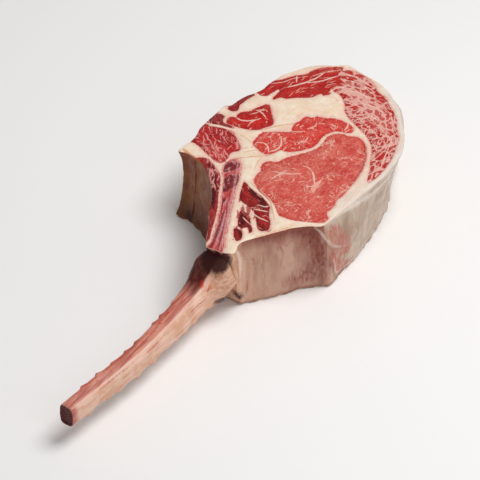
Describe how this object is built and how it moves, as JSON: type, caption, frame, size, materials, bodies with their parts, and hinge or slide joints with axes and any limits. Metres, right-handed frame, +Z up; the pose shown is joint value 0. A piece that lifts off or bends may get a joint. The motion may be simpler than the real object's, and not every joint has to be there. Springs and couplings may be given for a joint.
{
  "type": "raw tomahawk steak",
  "caption": "Thick raw rib-eye steak lying on its cut face, with marbled muscles in pale fat and a long trimmed rib bone standing clear at one side.",
  "frame": {"origin": "middle of the part's box in plan, on the surface that it lies on", "axes": "+Z up, through the thickness of the slab. +X along the part's length, from the bone's tip to the meat"},
  "size_m": [0.3852, 0.1412, 0.0612],
  "materials": {
    "lean_meat": "moist raw beef, salmon red with pale marbling",
    "marbled_meat": "moist raw beef, crimson strands in a pale network of fat",
    "dark_meat": "moist dark red meat beside the bone",
    "fat": "satin cream fat and membrane, tan on the outer walls",
    "bone": "scraped rib bone, pinkish white with red streaks, dark sawn end"
  },
  "bodies": {
    "root": {"rib_bone": "bone", "fat_body": "fat", "eye_muscle": "lean_meat", "inner_lobe": "lean_meat", "cap_muscle": "marbled_meat", "top_muscle": "lean_meat", "wedge_muscle": "lean_meat", "back_muscle": "lean_meat", "back_slip": "dark_meat", "chine_strip": "dark_meat", "edge_strip": "dark_meat", "finger_meat_long": "dark_meat", "finger_meat_middle": "dark_meat", "finger_meat_short": "dark_meat"}
  },
  "joints": []
}
